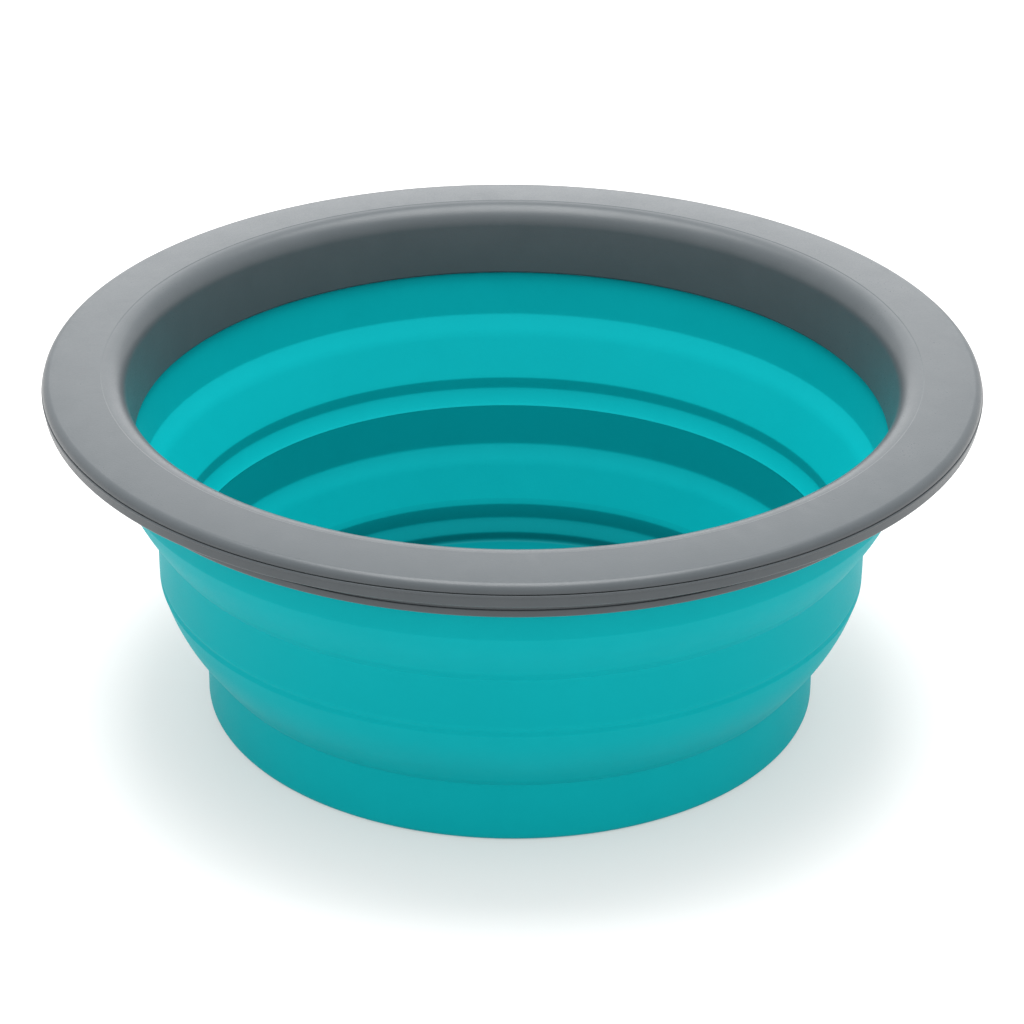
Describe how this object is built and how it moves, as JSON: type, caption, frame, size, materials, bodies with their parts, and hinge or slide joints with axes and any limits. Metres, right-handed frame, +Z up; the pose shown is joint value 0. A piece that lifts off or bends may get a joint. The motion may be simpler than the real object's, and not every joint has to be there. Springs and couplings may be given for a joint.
{
  "type": "collapsible pet bathtub",
  "caption": "Round free-standing collapsible pet bathtub: flexible stepped wall that folds flat in tiers, hollow flanged rim, flat floor with a drain plug.",
  "frame": {"origin": "middle of the base, on the surface that the tub stands on", "axes": "+Z up along the tub's axis; the tub is round, so +X and +Y are free"},
  "size_m": [0.38, 0.38, 0.15],
  "materials": {
    "rim_grey": "satin mid-grey moulded plastic with a very fine grain",
    "wall_teal": "matte teal soft moulding with a silky surface",
    "base_grey": "matte grey plastic",
    "fitting_grey": "satin mid-grey moulded plastic",
    "plug_teal": "matte teal soft moulding"
  },
  "bodies": {
    "base": {"lower_wall_band": "wall_teal", "floor_panel": "wall_teal", "base_plate": "base_grey", "drain_seat": "fitting_grey"},
    "middle_tier": {"middle_wall_band": "wall_teal", "lower_fold": "wall_teal"},
    "upper_tier": {"rim_top_shell": "rim_grey", "rim_bottom_shell": "rim_grey", "wall_clamp_ring": "rim_grey", "upper_wall_band": "wall_teal", "upper_fold": "wall_teal"},
    "plug": {"drain_plug": "plug_teal"}
  },
  "joints": [
    {"name": "lower_fold_slide", "type": "slide", "parent": "base", "child": "middle_tier", "axis": [0, 0, -1], "range_m": [0, 0.041], "deforming": ["lower_fold"]},
    {"name": "upper_fold_slide", "type": "slide", "parent": "middle_tier", "child": "upper_tier", "axis": [0, 0, -1], "range_m": [0, 0.047], "deforming": ["upper_fold"]},
    {"name": "drain_plug_lift", "type": "slide", "parent": "base", "child": "plug", "axis": [0, 0, 1], "range_m": [0, 0.05]}
  ]
}
